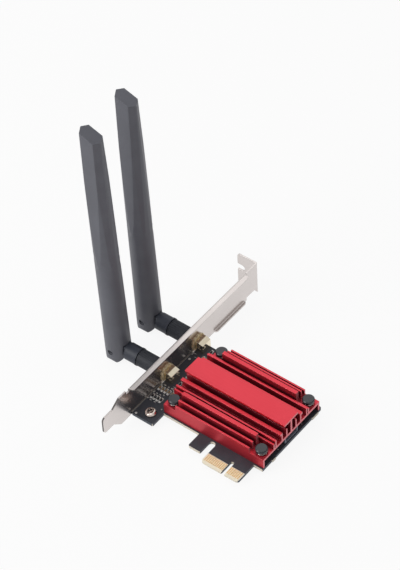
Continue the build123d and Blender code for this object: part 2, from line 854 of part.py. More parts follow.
lead_places = {"near": sink_middle - lead_offset, "far": sink_middle + lead_offset}
nodes = {
    "circuit_board": make_board(),
    "edge_contacts": make_edge_contacts(),
    "slot_bracket": make_bracket(),
    "bracket_screw": make_bracket_screw(),
    "heat_sink": make_heat_sink(),
    "push_pins": make_push_pins(),
    "pin_springs": make_pin_springs(),
    "thermal_pad": make_thermal_pad(),
    "wifi_module": make_module(),
    "module_shield": make_shield(),
    "module_socket": make_module_socket(),
    "module_standoff": make_module_standoff(),
    "module_screw": make_module_screw(),
    "usb_header": make_header(),
    "header_pins": make_header_pins(),
    "chip_capacitors": make_chips(capacitor_spots),
    "chip_resistors": make_chips(resistor_spots),
    "lead_jacks": [lead_jack(x, y, z) for x, z, side in lead_ends() for y in lead_places.values()],
    "lead_plugs": [lead_plug(x, y, z, side) for x, z, side in lead_ends() for y in lead_places.values()],
}
for name, y in lead_places.items():
    nodes["coax_lead_" + name] = make_lead(y)

lean = {"near": near_lean, "far": far_lean}
swing = {"near": near_swing, "far": far_swing}
for name, y in jack_places.items():
    axis = Pos(0, y, jack_axis)
    turned = axis * Rot(swing[name], 0, 0)
    upright = Pos(hinge_x, y, jack_axis) * Rot(swing[name], 0, 0) * Rot(0, -lean[name], 0)
    nodes["antenna_jack_" + name] = make_jack(y)
    nodes["jack_insulator_" + name] = make_jack_insulator(y)
    nodes["jack_contact_" + name] = make_jack_contact(y)
    nodes["lock_washer_" + name] = make_lock_washer(y)
    nodes["panel_nut_" + name] = make_panel_nut(y)
    nodes["plug_ferrule_" + name] = axis * make_ferrule()
    nodes["plug_core_" + name] = axis * make_plug_core()
    nodes["plug_socket_" + name] = axis * make_plug_socket()
    nodes["nut_insert_" + name] = axis * make_nut_insert()
    nodes["nut_grip_" + name] = axis * make_nut_grip()
    nodes["knuckle_" + name] = turned * make_knuckle()
    nodes["blade_" + name] = upright * make_blade()
    nodes["hinge_pin_" + name] = upright * make_hinge_pin()
    nodes["radiator_strip_" + name] = upright * make_radiator()

os.makedirs("parts", exist_ok=True)
for name, solid in nodes.items():
    shape = Compound(children=solid) if isinstance(solid, list) else solid
    export_step(shape, "parts/" + name + ".step")
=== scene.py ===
import bpy
import bmesh
import json
import math
from mathutils import Matrix, Vector


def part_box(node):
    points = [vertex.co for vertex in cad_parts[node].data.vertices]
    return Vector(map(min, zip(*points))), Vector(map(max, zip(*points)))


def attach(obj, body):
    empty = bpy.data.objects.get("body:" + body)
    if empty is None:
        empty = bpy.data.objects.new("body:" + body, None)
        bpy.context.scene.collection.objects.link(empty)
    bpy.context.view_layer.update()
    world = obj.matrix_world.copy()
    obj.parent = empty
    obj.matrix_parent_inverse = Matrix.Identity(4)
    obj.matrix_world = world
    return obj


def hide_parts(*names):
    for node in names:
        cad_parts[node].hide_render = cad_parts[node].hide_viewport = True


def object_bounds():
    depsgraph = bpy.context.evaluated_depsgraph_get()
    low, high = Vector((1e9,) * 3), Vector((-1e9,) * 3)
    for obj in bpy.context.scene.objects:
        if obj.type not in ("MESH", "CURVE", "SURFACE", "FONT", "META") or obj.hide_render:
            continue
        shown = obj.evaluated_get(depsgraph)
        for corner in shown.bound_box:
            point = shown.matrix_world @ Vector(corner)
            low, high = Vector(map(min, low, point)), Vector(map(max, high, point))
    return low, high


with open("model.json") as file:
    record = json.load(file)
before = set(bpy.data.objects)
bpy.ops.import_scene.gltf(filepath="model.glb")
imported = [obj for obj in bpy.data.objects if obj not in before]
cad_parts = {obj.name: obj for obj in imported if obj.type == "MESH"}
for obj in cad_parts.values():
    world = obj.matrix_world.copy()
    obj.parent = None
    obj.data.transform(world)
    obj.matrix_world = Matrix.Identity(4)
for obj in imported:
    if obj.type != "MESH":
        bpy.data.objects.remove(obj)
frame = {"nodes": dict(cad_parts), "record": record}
cad_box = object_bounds()

MM = 0.001

# Places and sizes on the card, in millimetres
sink_low, sink_high = (corner.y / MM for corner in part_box("heat_sink"))
sink_middle = (sink_low + sink_high) / 2
sink_half = (sink_high - sink_low) / 2
skirt_depth = 0.1
rib_pitch = 0.95
board_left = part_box("circuit_board")[0].x / MM
board_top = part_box("circuit_board")[1].z / MM
board_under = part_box("circuit_board")[0].z / MM
seam_shade_rim_width = 0.3
bare_strip_top = 5.75
finger_side = -14.0
free_end_side = 13.8
tab_side = -44.8
contact_pitch = 1.0
key_contact = 1.5
contacts_before_key = 11
contacts_after_key = 7
plate_back = -58.2
plate_part_end = 60.0
near_y, far_y = 31.8, 55.8


def srgb(red, green, blue):
    """A colour given in screen values of 0 to 255, as the shader wants it."""
    def linear(value):
        value /= 255
        return value / 12.92 if value <= 0.04045 else ((value + 0.055) / 1.055) ** 2.4
    return (linear(red), linear(green), linear(blue), 1.0)


# ---------------------------------------------------------------- node helpers

def add(tree, kind, inputs=None, **settings):
    """A shader node with its settings, and with each input linked or set."""
    node = tree.nodes.new("ShaderNode" + kind)
    for name, value in settings.items():
        setattr(node, name, value)
    for name, value in (inputs or {}).items():
        if isinstance(value, bpy.types.NodeSocket):
            tree.links.new(value, node.inputs[name])
        else:
            node.inputs[name].default_value = value
    return node


def calc(tree, operation, first, second=0.0, clamp=False):
    """One Math node's result."""
    node = add(tree, "Math", {0: first, 1: second}, operation=operation, use_clamp=clamp)
    return node.outputs[0]


def spread(tree, value, low, high, to_low=0.0, to_high=1.0):
    """A value taken from one range to another, and held inside it."""
    inputs = {"Value": value, "From Min": low, "From Max": high, "To Min": to_low, "To Max": to_high}
    return add(tree, "MapRange", inputs).outputs["Result"]


def blend(tree, share, first, second):
    """Two colours mixed by a share."""
    node = add(tree, "Mix", {0: share, 6: first, 7: second}, data_type="RGBA")
    return node.outputs[2]


def place(tree):
    """The point on the part, in metres, as x, y and z."""
    coords = add(tree, "TexCoord")
    return add(tree, "SeparateXYZ", {0: coords.outputs["Object"]}).outputs


def facing(tree):
    """The part's own surface direction, as x, y and z."""
    coords = add(tree, "TexCoord")
    return add(tree, "SeparateXYZ", {0: coords.outputs["Normal"]}).outputs


def new_group(name, inputs, outputs):
    """An empty node group with named value inputs and named outputs."""
    tree = bpy.data.node_groups.new(name, "ShaderNodeTree")
    for label, value in inputs.items():
        kind = "NodeSocketVector" if isinstance(value, tuple) else "NodeSocketFloat"
        socket = tree.interface.new_socket(label, in_out="INPUT", socket_type=kind)
        socket.default_value = value
    for label, kind in outputs.items():
        tree.interface.new_socket(label, in_out="OUTPUT", socket_type="NodeSocket" + kind)
    start = tree.nodes.new("NodeGroupInput")
    end = tree.nodes.new("NodeGroupOutput")
    return tree, start.outputs, end.inputs


def use(tree, group, **values):
    """A node group placed in a material with its own values."""
    node = tree.nodes.new("ShaderNodeGroup")
    node.node_tree = group
    for name, value in values.items():
        node.inputs[name.replace("_", " ")].default_value = value
    return node.outputs


# ---------------------------------------------------------------- shared effects

def make_drawn_lines():
    """Fine lines left by drawing or rolling: noise stretched along one direction."""
    tree, given, out = new_group("drawn_lines", {"Stretch": (60.0, 4000.0, 4000.0), "Cloud Scale": 60.0},
                                 {"Lines": "Float", "Cloud": "Float"})
    coords = add(tree, "TexCoord").outputs["Object"]
    stretched = add(tree, "Mapping", {"Vector": coords, "Scale": given["Stretch"]}).outputs[0]
    lines = add(tree, "TexNoise", {"Vector": stretched, "Scale": 1.0, "Detail": 3.0, "Roughness": 0.6})
    cloud = add(tree, "TexNoise", {"Vector": coords, "Scale": given["Cloud Scale"], "Detail": 2.0})
    tree.links.new(lines.outputs["Fac"], out["Lines"])
    tree.links.new(cloud.outputs["Fac"], out["Cloud"])
    return tree


def make_fine_grain():
    """The even matt grain of a moulded or coated surface, with a soft cloud over it."""
    tree, given, out = new_group("fine_grain", {"Grain Scale": 4000.0, "Cloud Scale": 80.0},
                                 {"Grain": "Float", "Cloud": "Float"})
    coords = add(tree, "TexCoord").outputs["Object"]
    grain = add(tree, "TexNoise", {"Vector": coords, "Scale": given["Grain Scale"], "Detail": 2.0})
    cloud = add(tree, "TexNoise", {"Vector": coords, "Scale": given["Cloud Scale"], "Detail": 3.0})
    tree.links.new(grain.outputs["Fac"], out["Grain"])
    tree.links.new(cloud.outputs["Fac"], out["Cloud"])
    return tree


def make_rubbed_edges_and_highlights():
    """Softened edges: a rounded normal, and a mask that is 1 where the surface turns a corner. The finishes use
    the mask for painted edge highlights and for glossier edges.
    """
    tree, given, out = new_group("rubbed_edges_and_highlights", {"Radius": 0.0002, "Reach": 0.12},
                                 {"Edge": "Float", "Normal": "Vector"})
    rounded = add(tree, "Bevel", {"Radius": given["Radius"]}, samples=4).outputs["Normal"]
    flat = add(tree, "NewGeometry").outputs["Normal"]
    agree = add(tree, "VectorMath", {0: rounded, 1: flat}, operation="DOT_PRODUCT").outputs["Value"]
    bent = calc(tree, "SUBTRACT", 1.0, agree)
    edge = calc(tree, "DIVIDE", bent, given["Reach"], clamp=True)
    tree.links.new(edge, out["Edge"])
    tree.links.new(rounded, out["Normal"])
    return tree


def make_open_air():
    """How open a spot lies: 1 on a free face, less down in a groove or a recess. The finishes use it to paint
    shade there.
    """
    tree, given, out = new_group("open_air", {"Reach": 0.006}, {"Open": "Float"})
    share = add(tree, "AmbientOcclusion", {"Distance": given["Reach"]}, samples=8).outputs["AO"]
    tree.links.new(share, out["Open"])
    return tree


drawn_lines = make_drawn_lines()
fine_grain = make_fine_grain()
rubbed_edges_and_highlights = make_rubbed_edges_and_highlights()
open_air = make_open_air()


# ---------------------------------------------------------------- finishes

def new_finish(name, **constants):
    """A material with its Principled shader and its plain constants."""
    material = bpy.data.materials.new(name)
    material.use_nodes = True
    tree = material.node_tree
    shader = tree.nodes["Principled BSDF"]
    for label, value in constants.items():
        shader.inputs[label.replace("_", " ")].default_value = value
    return material, tree, shader


def relief(tree, shader, height, distance, strength=1.0, normal=None):
    """A bump from a height, on top of a rounded normal where one is given."""
    inputs = {"Height": height, "Distance": distance, "Strength": strength}
    if normal is not None:
        inputs["Normal"] = normal
    bump = add(tree, "Bump", inputs)
    tree.links.new(bump.outputs["Normal"], shader.inputs["Normal"])


def plated(name, light, dark, rough, lines, painted_edge_highlight=None, radius=0.00015, metal=1.0, hollow_shade=None):
    """A plated metal: drawn lines in its gloss, a soft cloud in its colour, a painted highlight on its edges and
    painted shade in its recesses.
    """
    material, tree, shader = new_finish(name, Metallic=metal)
    drawn = use(tree, drawn_lines, Stretch=lines, Cloud_Scale=180.0)
    edges = use(tree, rubbed_edges_and_highlights, Radius=radius, Reach=0.15)
    colour = blend(tree, spread(tree, drawn["Cloud"], 0.3, 0.7), light, dark)
    # Painted highlight: the edges are lightened towards the given colour.
    if painted_edge_highlight is not None:
        colour = blend(tree, calc(tree, "MULTIPLY", edges["Edge"], 0.6), colour, painted_edge_highlight)
    # Painted shade: recesses are darkened towards the given colour by how enclosed they are.
    if hollow_shade is not None:
        recess = use(tree, open_air, Reach=0.001)
        colour = blend(tree, spread(tree, recess["Open"], 0.35, 0.8, 0.9, 0.0), colour, hollow_shade)
    tree.links.new(colour, shader.inputs["Base Color"])
    gloss = spread(tree, drawn["Lines"], 0.3, 0.7, rough * 0.8, rough * 1.25)
    tree.links.new(gloss, shader.inputs["Roughness"])
    relief(tree, shader, drawn["Lines"], 0.000004, 0.6, edges["Normal"])
    return material


def moulded(name, light, dark, rough, grain_scale=5000.0, depth=0.000012, radius=0.0002, painted_edge_shine=None):
    """A moulded plastic: fine grain, slight clouding, edges polished by handling so that they are a little
    glossier, and a painted highlight on the edges where a highlight colour is given.
    """
    material, tree, shader = new_finish(name)
    grain = use(tree, fine_grain, Grain_Scale=grain_scale, Cloud_Scale=70.0)
    edges = use(tree, rubbed_edges_and_highlights, Radius=radius, Reach=0.15)
    fine = calc(tree, "MULTIPLY", grain["Grain"], 0.35)
    soft = calc(tree, "MULTIPLY", grain["Cloud"], 0.65)
    colour = blend(tree, spread(tree, calc(tree, "ADD", fine, soft), 0.35, 0.65), dark, light)
    # Painted highlight: the edges are lightened towards the given colour.
    if painted_edge_shine is not None:
        colour = blend(tree, calc(tree, "MULTIPLY", edges["Edge"], 0.5), colour, painted_edge_shine)
    tree.links.new(colour, shader.inputs["Base Color"])
    gloss = calc(tree, "SUBTRACT", spread(tree, grain["Cloud"], 0.3, 0.7, rough * 0.9, rough * 1.1),
                 calc(tree, "MULTIPLY", edges["Edge"], 0.12))
    tree.links.new(gloss, shader.inputs["Roughness"])
    relief(tree, shader, grain["Grain"], depth, 0.5, edges["Normal"])
    return material


def make_red_anodised():
    """Red anodised extrusion: die lines, ribbed skirts with painted shade in the rib hollows, painted shade in the
    grooves, pale sawn ends and a painted highlight on the edges.
    """
    material, tree, shader = new_finish("red_anodised_extrusion", Metallic=0.7, Coat_Weight=0.15,
                                        Coat_Roughness=0.3)
    drawn = use(tree, drawn_lines, Stretch=(25.0, 5200.0, 5200.0), Cloud_Scale=45.0)
    sawn = use(tree, drawn_lines, Stretch=(400.0, 900.0, 6500.0), Cloud_Scale=400.0)
    edges = use(tree, rubbed_edges_and_highlights, Radius=0.00014, Reach=0.2)
    face = facing(tree)
    point = place(tree)
    end = calc(tree, "GREATER_THAN", calc(tree, "ABSOLUTE", face["X"]), 0.8)
    from_middle = calc(tree, "ABSOLUTE", calc(tree, "SUBTRACT", point["Y"], sink_middle * MM))
    outside = calc(tree, "GREATER_THAN", from_middle, (sink_half - skirt_depth) * MM)
    wave = calc(tree, "SINE", calc(tree, "MULTIPLY", point["Z"], 2 * math.pi / (rib_pitch * MM)))
    ribs = calc(tree, "MULTIPLY", outside, spread(tree, wave, -0.4, 0.8))
    body = blend(tree, spread(tree, drawn["Lines"], 0.3, 0.7), srgb(213, 55, 69), srgb(221, 63, 77))
    body = blend(tree, spread(tree, drawn["Cloud"], 0.35, 0.7, 0.0, 0.3), body, srgb(206, 44, 58))
    # Painted shade: the rib hollows on the skirts are darkened.
    body = blend(tree, calc(tree, "MULTIPLY", ribs, 0.7), body, srgb(168, 28, 42))
    # Painted shade: the grooves between the fins are darkened by how enclosed they are.
    groove_shade = use(tree, open_air, Reach=0.006)
    body = blend(tree, spread(tree, groove_shade["Open"], 0.25, 0.75, 0.85, 0.0), body, srgb(112, 34, 50))
    cut = blend(tree, spread(tree, sawn["Lines"], 0.35, 0.65), srgb(214, 108, 118), srgb(234, 142, 149))
    colour = blend(tree, end, body, cut)
    # Painted highlight: the edges are lightened towards pale pink.
    colour = blend(tree, calc(tree, "MULTIPLY", edges["Edge"], 0.55), colour, srgb(242, 138, 146))
    tree.links.new(colour, shader.inputs["Base Color"])
    gloss = spread(tree, drawn["Lines"], 0.3, 0.7, 0.34, 0.46)
    coarse = calc(tree, "MULTIPLY", calc(tree, "MAXIMUM", end, outside), 0.1)
    tree.links.new(calc(tree, "ADD", gloss, coarse), shader.inputs["Roughness"])
    height = add(tree, "Mix", {0: end, 2: drawn["Lines"], 3: sawn["Lines"]}, data_type="FLOAT").outputs[0]
    height = calc(tree, "SUBTRACT", height, calc(tree, "MULTIPLY", ribs, 8.0))
    relief(tree, shader, height, 0.000005, 0.5, edges["Normal"])
    return material


def make_board_mask():
    """Black solder mask on glass laminate: cream cut edges, bare laminate by the contacts, a grey rim by the
    bracket that is painted shade of the seam, and mask-coated edges painted lighter than the mask.
    """
    material, tree, shader = new_finish("black_mask_laminate")
    grain = use(tree, fine_grain, Grain_Scale=3500.0, Cloud_Scale=130.0)
    point = place(tree)
    face = facing(tree)
    mask = blend(tree, spread(tree, grain["Cloud"], 0.35, 0.65), srgb(50, 53, 61), srgb(60, 63, 71))
    weave = add(tree, "TexWave", {"Scale": 900.0, "Distortion": 1.5, "Detail": 1.0}, bands_direction="Z")
    tree.links.new(add(tree, "TexCoord").outputs["Object"], weave.inputs["Vector"])
    layers = blend(tree, weave.outputs["Fac"], srgb(220, 210, 191), srgb(242, 236, 223))
    bare = blend(tree, spread(tree, grain["Grain"], 0.3, 0.7), srgb(240, 228, 202), srgb(250, 241, 220))
    # Painted shade: a grey rim along the board's edge at the bracket stands for the seam's shade.
    rim = calc(tree, "LESS_THAN", point["X"], (board_left + seam_shade_rim_width) * MM)
    low = calc(tree, "LESS_THAN", point["Y"], bare_strip_top * MM)
    inner = calc(tree, "GREATER_THAN", point["X"], finger_side * MM)
    strip = calc(tree, "MULTIPLY", low, inner)
    side = calc(tree, "LESS_THAN", calc(tree, "ABSOLUTE", face["Z"]), 0.3)
    free_end = calc(tree, "MULTIPLY", calc(tree, "GREATER_THAN", face["X"], 0.8),
                    calc(tree, "LESS_THAN", point["X"], free_end_side * MM))
    tab_front = calc(tree, "MULTIPLY", calc(tree, "LESS_THAN", face["Y"], -0.3),
                     calc(tree, "LESS_THAN", point["X"], tab_side * MM))
    # Edges coated in mask at the free end and the tab front; their colour is painted lighter than the mask itself
    # as painted light.
    masked_side_lightened = calc(tree, "MULTIPLY", side, calc(tree, "MAXIMUM", free_end, tab_front))
    cut = calc(tree, "SUBTRACT", side, masked_side_lightened, clamp=True)
    colour = blend(tree, strip, mask, bare)
    colour = blend(tree, cut, colour, layers)
    # Painted seam shade along the bracket edge.
    colour = blend(tree, rim, colour, srgb(150, 148, 143))
    # Painted light: the mask-coated edges are lighter than the mask.
    colour = blend(tree, masked_side_lightened, colour, srgb(84, 90, 101))
    tree.links.new(colour, shader.inputs["Base Color"])
    gloss = spread(tree, grain["Cloud"], 0.3, 0.7, 0.55, 0.66)
    tree.links.new(calc(tree, "ADD", gloss, calc(tree, "MULTIPLY", cut, 0.2)), shader.inputs["Roughness"])
    relief(tree, shader, grain["Grain"], 0.00001, 0.4)
    return material


def make_bracket_plate():
    """Bright nickel-plated sheet: nearly a mirror, faint rolling lines, a painted highlight on the edges, grey
    sheared edges and duller folds.
    """
    material, tree, shader = new_finish("bright_nickel_sheet", Metallic=1.0)
    drawn = use(tree, drawn_lines, Stretch=(3000.0, 30.0, 3000.0), Cloud_Scale=35.0)
    edges = use(tree, rubbed_edges_and_highlights, Radius=0.0002, Reach=0.15)
    colour = blend(tree, spread(tree, drawn["Cloud"], 0.3, 0.7), srgb(211, 204, 201), srgb(222, 215, 212))
    # Painted highlight: the edges are lightened towards near white.
    colour = blend(tree, calc(tree, "MULTIPLY", edges["Edge"], 0.5), colour, srgb(244, 242, 240))
    point = place(tree)
    on_plate = calc(tree, "MULTIPLY", calc(tree, "GREATER_THAN", point["X"], plate_back * MM),
                    calc(tree, "LESS_THAN", point["Y"], plate_part_end * MM))
    face = facing(tree)
    sheared = calc(tree, "MULTIPLY", on_plate, calc(tree, "GREATER_THAN", calc(tree, "ABSOLUTE", face["Y"]), 0.25))
    folded = calc(tree, "GREATER_THAN", face["Z"], 0.6)
    colour = blend(tree, sheared, colour, srgb(112, 108, 106))
    tree.links.new(colour, shader.inputs["Base Color"])
    gloss = spread(tree, drawn["Lines"], 0.3, 0.7, 0.22, 0.26)
    dull = calc(tree, "ADD", calc(tree, "MULTIPLY", sheared, 0.3), calc(tree, "MULTIPLY", folded, 0.2))
    tree.links.new(calc(tree, "ADD", gloss, dull), shader.inputs["Roughness"])
    height = calc(tree, "ADD", calc(tree, "MULTIPLY", drawn["Lines"], 0.05), drawn["Cloud"])
    relief(tree, shader, height, 0.00002, 0.22, edges["Normal"])
    return material


def make_gold_contacts():
    """Hard gold on the edge contacts: a painted highlight along each contact's sides, and faint wipe marks along
    the insertion direction.
    """
    material, tree, shader = new_finish("hard_gold_contacts", Metallic=0.8)
    drawn = use(tree, drawn_lines, Stretch=(5000.0, 200.0, 5000.0), Cloud_Scale=180.0)
    edges = use(tree, rubbed_edges_and_highlights, Radius=0.0001, Reach=0.15)
    across = calc(tree, "FRACT", calc(tree, "DIVIDE", place(tree)["X"], contact_pitch * MM))
    from_middle = calc(tree, "ABSOLUTE", calc(tree, "SUBTRACT", across, 0.5))
    gold = blend(tree, spread(tree, drawn["Cloud"], 0.3, 0.7), srgb(200, 146, 74), srgb(186, 132, 64))
    # Painted highlight: each contact's sides are lightened towards pale gold.
    colour = blend(tree, spread(tree, from_middle, 0.16, 0.24), gold, srgb(255, 243, 208))
    tree.links.new(colour, shader.inputs["Base Color"])
    tree.links.new(spread(tree, drawn["Lines"], 0.3, 0.7, 0.26, 0.36), shader.inputs["Roughness"])
    relief(tree, shader, drawn["Lines"], 0.000004, 0.6, edges["Normal"])
    return material


# In the finishes below, a third colour given to plated or moulded is a painted edge highlight, and the screw's
# hollow colour is painted shade in its recess.
finishes = {
    "solder_mask": make_board_mask(),
    "gold_plate": make_gold_contacts(),
    "bracket_plate": make_bracket_plate(),
    "screw_plate": plated("screw_nickel", srgb(226, 212, 204), srgb(206, 190, 182), 0.13, (900.0, 900.0, 5000.0),
                          srgb(246, 240, 236), hollow_shade=srgb(58, 46, 42)),
    "red_anodised": make_red_anodised(),
    "pin_nylon": moulded("pin_nylon_grey", srgb(44, 46, 52), srgb(34, 36, 41), 0.24, 4500.0,
                         painted_edge_shine=srgb(120, 126, 132)),
    "spring_wire": plated("spring_steel_wire", srgb(226, 224, 220), srgb(196, 194, 190), 0.22,
                          (700.0, 700.0, 700.0)),
    "thermal_pad": moulded("thermal_pad_grey", srgb(150, 156, 164), srgb(128, 134, 142), 0.75, 2600.0, 0.00003),
    "module_mask": moulded("module_mask_green", srgb(24, 66, 50), srgb(16, 50, 38), 0.4, 3000.0),
    "tin_plate": plated("tin_plated_can", srgb(214, 214, 212), srgb(192, 192, 190), 0.3, (60.0, 3500.0, 3500.0),
                        srgb(238, 238, 236)),
    "black_nylon": moulded("black_nylon_housing", srgb(40, 40, 42), srgb(28, 28, 30), 0.48, 3600.0,
                           painted_edge_shine=srgb(110, 112, 116)),
    "capacitor_body": moulded("capacitor_ceramic_tan", srgb(178, 152, 118), srgb(152, 126, 96), 0.5, 9000.0),
    "resistor_body": moulded("resistor_coat_black", srgb(36, 36, 40), srgb(24, 24, 28), 0.35, 9000.0),
    "lead_jacket": moulded("lead_jacket_black", srgb(34, 34, 36), srgb(22, 22, 24), 0.42, 6000.0),
    "jack_gold": plated("jack_pale_gold", srgb(246, 236, 214), srgb(238, 224, 196), 0.055, (40.0, 900.0, 900.0),
                        srgb(255, 246, 226), 0.00025),
    "ptfe": moulded("ptfe_white", srgb(240, 240, 236), srgb(228, 228, 224), 0.5, 3000.0),
    "nut_brass": plated("nut_brass_turned", srgb(226, 196, 120), srgb(206, 172, 96), 0.28, (2400.0, 200.0, 200.0)),
    "antenna_plastic": moulded("antenna_charcoal", srgb(98, 99, 107), srgb(86, 87, 95), 0.5, 5200.0, 0.000014,
                               0.0003, srgb(126, 128, 136)),
    "hinge_steel": plated("hinge_blackened", srgb(78, 80, 86), srgb(60, 62, 68), 0.34, (2000.0, 2000.0, 2000.0),
                          srgb(150, 152, 158), metal=0.6),
    "radiator_copper": plated("radiator_copper", srgb(216, 140, 100), srgb(196, 118, 80), 0.32,
                              (3000.0, 3000.0, 40.0)),
}
# The third colour in each of the four finishes below is a painted edge highlight.
grip_plastic = moulded("grip_blue_black", srgb(31, 34, 43), srgb(24, 27, 35), 0.58, 5200.0, 0.000014, 0.0002,
                       srgb(76, 80, 92))
knuckle_plastic = moulded("knuckle_blue_black", srgb(46, 50, 62), srgb(38, 42, 53), 0.52, 5200.0, 0.000014, 0.0002,
                          srgb(88, 92, 104))
# The header is black nylon. It is painted lighter here as painted light, since it sits in shade under the heat
# sink, and its edges get a painted highlight.
header_lightened_nylon = moulded("header_black_nylon_lightened", srgb(122, 128, 142), srgb(106, 112, 126), 0.5, 3600.0,
                      painted_edge_shine=srgb(236, 238, 242))
washer_gold = plated("washer_stamped_gold", srgb(255, 242, 206), srgb(250, 228, 178), 0.2, (900.0, 900.0, 900.0),
                     srgb(255, 250, 236), metal=0.25)

slot_of_node = {row["node"]: row["material_slot"] for row in frame["record"]["subparts"]}


def coat(obj, *materials):
    """Puts finishes on a piece's material slots."""
    obj.data.materials.clear()
    for material in materials:
        obj.data.materials.append(material)


for node_name, obj in frame["nodes"].items():
    coat(obj, finishes[slot_of_node[node_name]])
coat(frame["nodes"]["usb_header"], header_lightened_nylon)
for side in ("near", "far"):
    coat(frame["nodes"]["nut_grip_" + side], grip_plastic)
    coat(frame["nodes"]["knuckle_" + side], knuckle_plastic)
    coat(frame["nodes"]["lock_washer_" + side], washer_gold)


# ---------------------------------------------------------------- mesh helpers

def new_piece(name, body, slot, build, *materials, turn=40.0):
    """A new piece from mesh code, coated, and riding on a body."""
    form = bmesh.new()
    build(form)
    bmesh.ops.recalc_face_normals(form, faces=form.faces)
    mesh = bpy.data.meshes.new(name)
    form.to_mesh(mesh)
    form.free()
    mesh.polygons.foreach_set("use_smooth", [True] * len(mesh.polygons))
    mesh.set_sharp_from_angle(angle=math.radians(turn))
    obj = bpy.data.objects.new(name, mesh)
    bpy.context.scene.collection.objects.link(obj)
    coat(obj, *materials)
    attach(obj, body)
    return obj


def brick(form, low, high, round_off, finish=0):
    """A box between two corners, in millimetres, with rounded edges."""
    before = set(form.faces)
    low, high = Vector(low) * MM, Vector(high) * MM
    size = Matrix.Diagonal(high - low).to_4x4()
    made = bmesh.ops.create_cube(form, size=1.0, matrix=Matrix.Translation((low + high) / 2) @ size)
    edges = list({edge for corner in made["verts"] for edge in corner.link_edges})
    bmesh.ops.bevel(form, geom=edges, offset=round_off * MM, segments=2, profile=0.5, affect="EDGES")
    for face in form.faces:
        if face not in before:
            face.material_index = finish


def band(form, one, two):
    """Faces between two closed rows of points."""
    count = len(one)
    for i in range(count):
        j = (i + 1) % count
        form.faces.new((one[i], one[j], two[j], two[i]))


def skin(form, rows):
    """A closed form through rows of points, with flat ends."""
    for one, two in zip(rows, rows[1:]):
        band(form, one, two)
    form.faces.new(rows[0])
    form.faces.new(rows[-1])


def ring(form, spot, radius, height, steps):
    """A round row of points about an upright axis, in millimetres."""
    row = []
    for i in range(steps):
        angle = 2 * math.pi * i / steps
        point = Vector((spot[0] + radius * math.cos(angle), spot[1] + radius * math.sin(angle), height))
        row.append(form.verts.new(point * MM))
    return row


def turned(form, profile, spot, steps=18):
    """A round form on an upright axis from (radius, height) points, in millimetres."""
    skin(form, [ring(form, spot, radius, height, steps) for radius, height in profile])


def washer(form, spot, inner, outer, low, high, steps=20):
    """A flat ring, in millimetres."""
    corners = ((inner, low), (outer, low), (outer, high), (inner, high))
    rows = [ring(form, spot, radius, height, steps) for radius, height in corners]
    for k in range(len(rows)):
        band(form, rows[k], rows[(k + 1) % len(rows)])


def ribbon(form, points, width, low, high):
    """A thin raised line along a flat path, in millimetres, mitred at its turns."""
    path = [Vector(point) for point in points]
    rows = []
    for i, point in enumerate(path):
        ahead = (path[min(i + 1, len(path) - 1)] - point)
        behind = (point - path[max(i - 1, 0)])
        ahead = (ahead if ahead.length else behind).normalized()
        behind = (behind if behind.length else ahead).normalized()
        along = (ahead + behind).normalized()
        across = Vector((-along.y, along.x)) * (width / 2) / max(along.dot(ahead), 0.3)
        rows.append([form.verts.new(Vector((*(point + across * side), height)) * MM)
                     for side, height in ((-1, low), (1, low), (1, high), (-1, high))])
    skin(form, rows)


# ---------------------------------------------------------------- small parts on the board

capacitor_spots = [(-55.6, 24.0), (-53.8, 24.0), (-52.0, 24.0), (-50.2, 24.0), (-48.2, 24.0), (-50.4, 50.4),
                   (-48.6, 51.0)]
resistor_spots = [(-55.4, 18.0), (-53.7, 18.0), (-52.0, 18.0), (-50.3, 18.0), (-49.4, 55.8), (-49.2, 31.2),
                  (-49.2, 37.6)]
chip_half_length = 0.8
chip_half_width = 0.4
chip_height = 0.6
cap_length = 0.35
pad_half_width = 0.62
pad_inside = 0.3
pad_outside = 0.85
fillet_half_width = 0.36
copper_rise = 0.035
track_rise = 0.02
print_rise = 0.025
tinned = plated("tinned_pads", srgb(250, 249, 246), srgb(238, 237, 234), 0.4, (900.0, 900.0, 900.0), metal=0.35)
white_print = moulded("white_board_print", srgb(236, 236, 232), srgb(222, 222, 218), 0.6, 6000.0)


def chips_at(spots):
    """Chip parts: a ceramic body between two plated end caps."""
    def build(form):
        inset = 0.04
        for x, y in spots:
            half_width = chip_half_width - inset
            half_length = chip_half_length - cap_length
            brick(form, (x - half_width, y - half_length, board_top + 0.05),
                  (x + half_width, y + half_length, board_top + chip_height - inset), 0.03)
            for side in (-1, 1):
                ends = sorted((y + side * chip_half_length, y + side * (chip_half_length - cap_length)))
                brick(form, (x - chip_half_width, ends[0], board_top + copper_rise),
                      (x + chip_half_width, ends[1], board_top + chip_height), 0.06, 1)
    return build


def solder_at_chips(form):
    """A concave solder fillet and its tinned pad at each end of each chip."""
    profile = ((0.0, 0.44), (0.07, 0.22), (0.18, 0.09), (0.36, copper_rise))
    for x, y in capacitor_spots + resistor_spots:
        for side in (-1, 1):
            end = y + side * chip_half_length
            pad = sorted((end - side * pad_inside, end + side * pad_outside))
            brick(form, (x - pad_half_width, pad[0], board_top),
                  (x + pad_half_width, pad[1], board_top + copper_rise), 0.012)
            outline = [(end + side * out, rise) for out, rise in profile] + [(end, copper_rise)]
            walls = [[form.verts.new(Vector((x + half, py, board_top + pz)) * MM) for py, pz in outline]
                     for half in (-fillet_half_width, fillet_half_width)]
            skin(form, walls)


leg_rows = (-55.45, -53.0)
leg_side = 1.95
tail_x = -54.2
header_pin_x = 8.0
header_middle = 36.0
header_pitch = 2.0
header_pins = 4
leg_spots = [(x, y + side * leg_side) for y in (near_y, far_y) for x in leg_rows for side in (-1, 1)]
tail_spots = [(tail_x, near_y), (tail_x, far_y)]
header_spots = [(header_pin_x, header_middle + header_pitch * (i - (header_pins - 1) / 2))
                for i in range(header_pins)]


